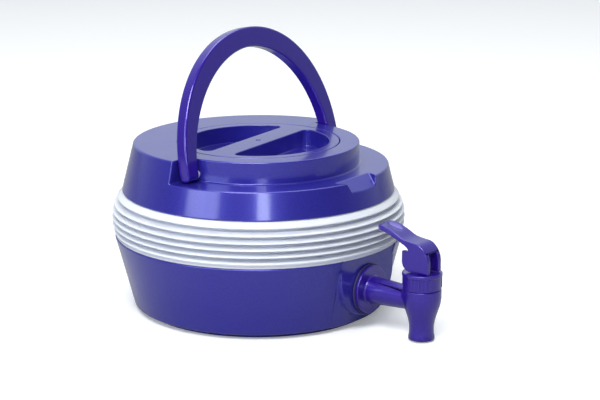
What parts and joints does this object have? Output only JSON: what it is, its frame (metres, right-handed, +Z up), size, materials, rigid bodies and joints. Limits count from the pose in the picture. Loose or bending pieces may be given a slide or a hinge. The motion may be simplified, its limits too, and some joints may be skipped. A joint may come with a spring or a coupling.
{
  "type": "collapsible water dispenser",
  "caption": "Collapsible countertop water dispenser with a bellows body, lever tap, screw lid and folding carry handle.",
  "frame": {"origin": "centre of the flat foot, on the surface that the dispenser stands on", "axes": "+Z up along the body's axis, -Y towards the tap, X along the carry handle's pivots"},
  "size_m": [0.2064, 0.2575, 0.1976],
  "materials": {
    "shell_blue": "pearl gloss",
    "handle_blue": "gloss",
    "tap_blue": "satin gloss",
    "milky_sleeve": "milky translucent",
    "pale_rubber": "matt",
    "blue_rubber": "satin",
    "white_plastic": "satin",
    "spring_steel": "bright wire"
  },
  "bodies": {
    "base": {"bowl": "shell_blue", "bellows": "milky_sleeve", "lower_clamp_ring": "shell_blue", "tap_body": "tap_blue", "tap_washer_outer": "blue_rubber", "tap_washer_inner": "pale_rubber", "tap_nut": "tap_blue", "tap_bonnet": "tap_blue", "valve_spring": "spring_steel"},
    "top": {"top_shell": "shell_blue", "upper_clamp_ring": "shell_blue", "handle_pin_near": "handle_blue", "handle_pin_far": "handle_blue"},
    "handle": {"handle": "handle_blue"},
    "lid_seal": {"lid_gasket": "pale_rubber"},
    "lid": {"screw_lid": "shell_blue"},
    "seal": {"valve_seal": "pale_rubber"},
    "stem": {"valve_stem": "white_plastic", "lever_pin": "tap_blue"},
    "lever": {"tap_lever": "tap_blue"}
  },
  "joints": [
    {"name": "expand", "type": "slide", "parent": "base", "child": "top", "axis": [0, 0, 1], "range_m": [0, 0.065], "deforming": ["bellows"]},
    {"name": "handle_fold", "type": "hinge", "parent": "top", "child": "handle", "pos_m": [0, -0.0036, 0.1083], "axis": [1, 0, 0], "range_deg": [0, 101]},
    {"name": "lid_lift", "type": "slide", "parent": "top", "child": "lid_seal", "axis": [0, 0, 1], "range_m": [0, 0.0068]},
    {"name": "lid_turn", "type": "hinge", "parent": "lid_seal", "child": "lid", "pos_m": [0, 0, 0.1188], "axis": [0, 0, 1], "range_deg": [0, 396]},
    {"name": "valve_lift", "type": "slide", "parent": "base", "child": "seal", "axis": [0, 0, 1], "range_m": [0, 0.0015], "deforming": ["valve_spring"]},
    {"name": "lever_swivel", "type": "hinge", "parent": "seal", "child": "stem", "pos_m": [0, -0.1405, 0.0561], "axis": [0, 0, 1], "continuous": true},
    {"name": "lever_press", "type": "hinge", "parent": "stem", "child": "lever", "pos_m": [0, -0.1405, 0.0561], "axis": [-1, 0, 0], "range_deg": [0, 12], "stiffness_Nm_per_rad": 0.0055, "springref_deg": -80.21}
  ],
  "couplings": [
    {"joint": "lid_lift", "follows": "lid_turn", "m_per_rad": 0.00095493},
    {"joint": "lever_press", "follows": "valve_lift", "rad_per_m": 139.63}
  ]
}
